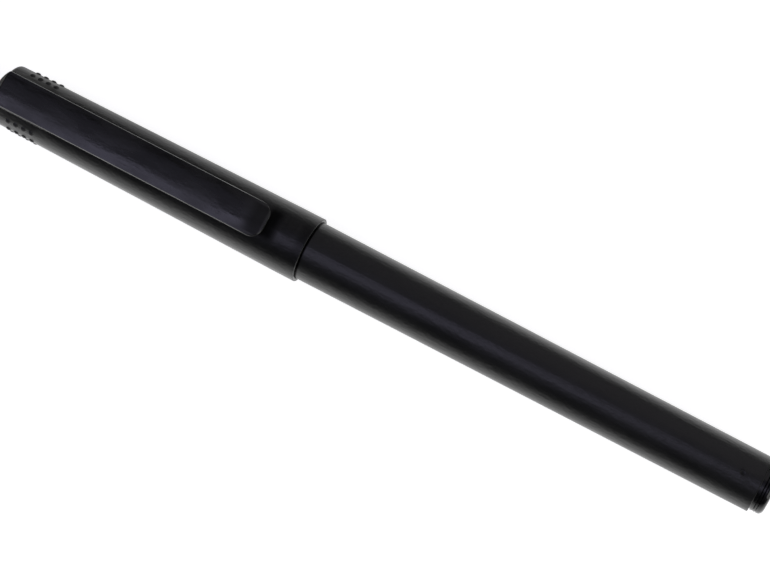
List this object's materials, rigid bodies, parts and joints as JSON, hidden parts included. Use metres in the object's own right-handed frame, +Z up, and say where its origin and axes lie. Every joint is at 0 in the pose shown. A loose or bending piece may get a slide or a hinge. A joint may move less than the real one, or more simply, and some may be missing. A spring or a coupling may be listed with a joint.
{
  "type": "fineliner pen",
  "caption": "Capped fineliner pen: tapered satin barrel with a glossy end plug, and a pull-off cap with a wide spring clip and raised grip dots.",
  "frame": {"origin": "on the surface the pen lies on, under the middle of its capped length", "axes": "+X along the pen toward its rear end, so the cap points to -X; +Z up, with the clip facing up"},
  "size_m": [0.14, 0.0112, 0.0126],
  "materials": {
    "barrel_plastic": "satin black moulded plastic",
    "plug_plastic": "glossy black moulded plastic",
    "section_plastic": "satin black moulded plastic",
    "sleeve_steel": "drawn stainless tube",
    "nib_plastic": "ink-stained writing rod",
    "ink_fibre": "ink-soaked fibre",
    "wrap_film": "thin clear film",
    "cap_plastic": "satin black moulded plastic",
    "liner_plastic": "natural milky moulded plastic",
    "clip_plastic": "satin black moulded plastic"
  },
  "bodies": {
    "pen": {"barrel": "barrel_plastic", "end_plug": "plug_plastic", "grip_section": "section_plastic", "nib_sleeve": "sleeve_steel", "nib": "nib_plastic", "ink_reservoir": "ink_fibre", "reservoir_film": "wrap_film"},
    "cap": {"cap_shell": "cap_plastic", "inner_cap": "liner_plastic"},
    "clip": {"clip": "clip_plastic"}
  },
  "joints": [
    {"name": "cap_pull", "type": "slide", "parent": "pen", "child": "cap", "axis": [-1, 0, 0], "range_m": [0, 0.045]},
    {"name": "clip_flex", "type": "hinge", "parent": "cap", "child": "clip", "pos_m": [-0.0688, 0, 0.01019], "axis": [0, -1, 0], "range_deg": [0, 4], "stiffness_Nm_per_rad": 1.2}
  ]
}
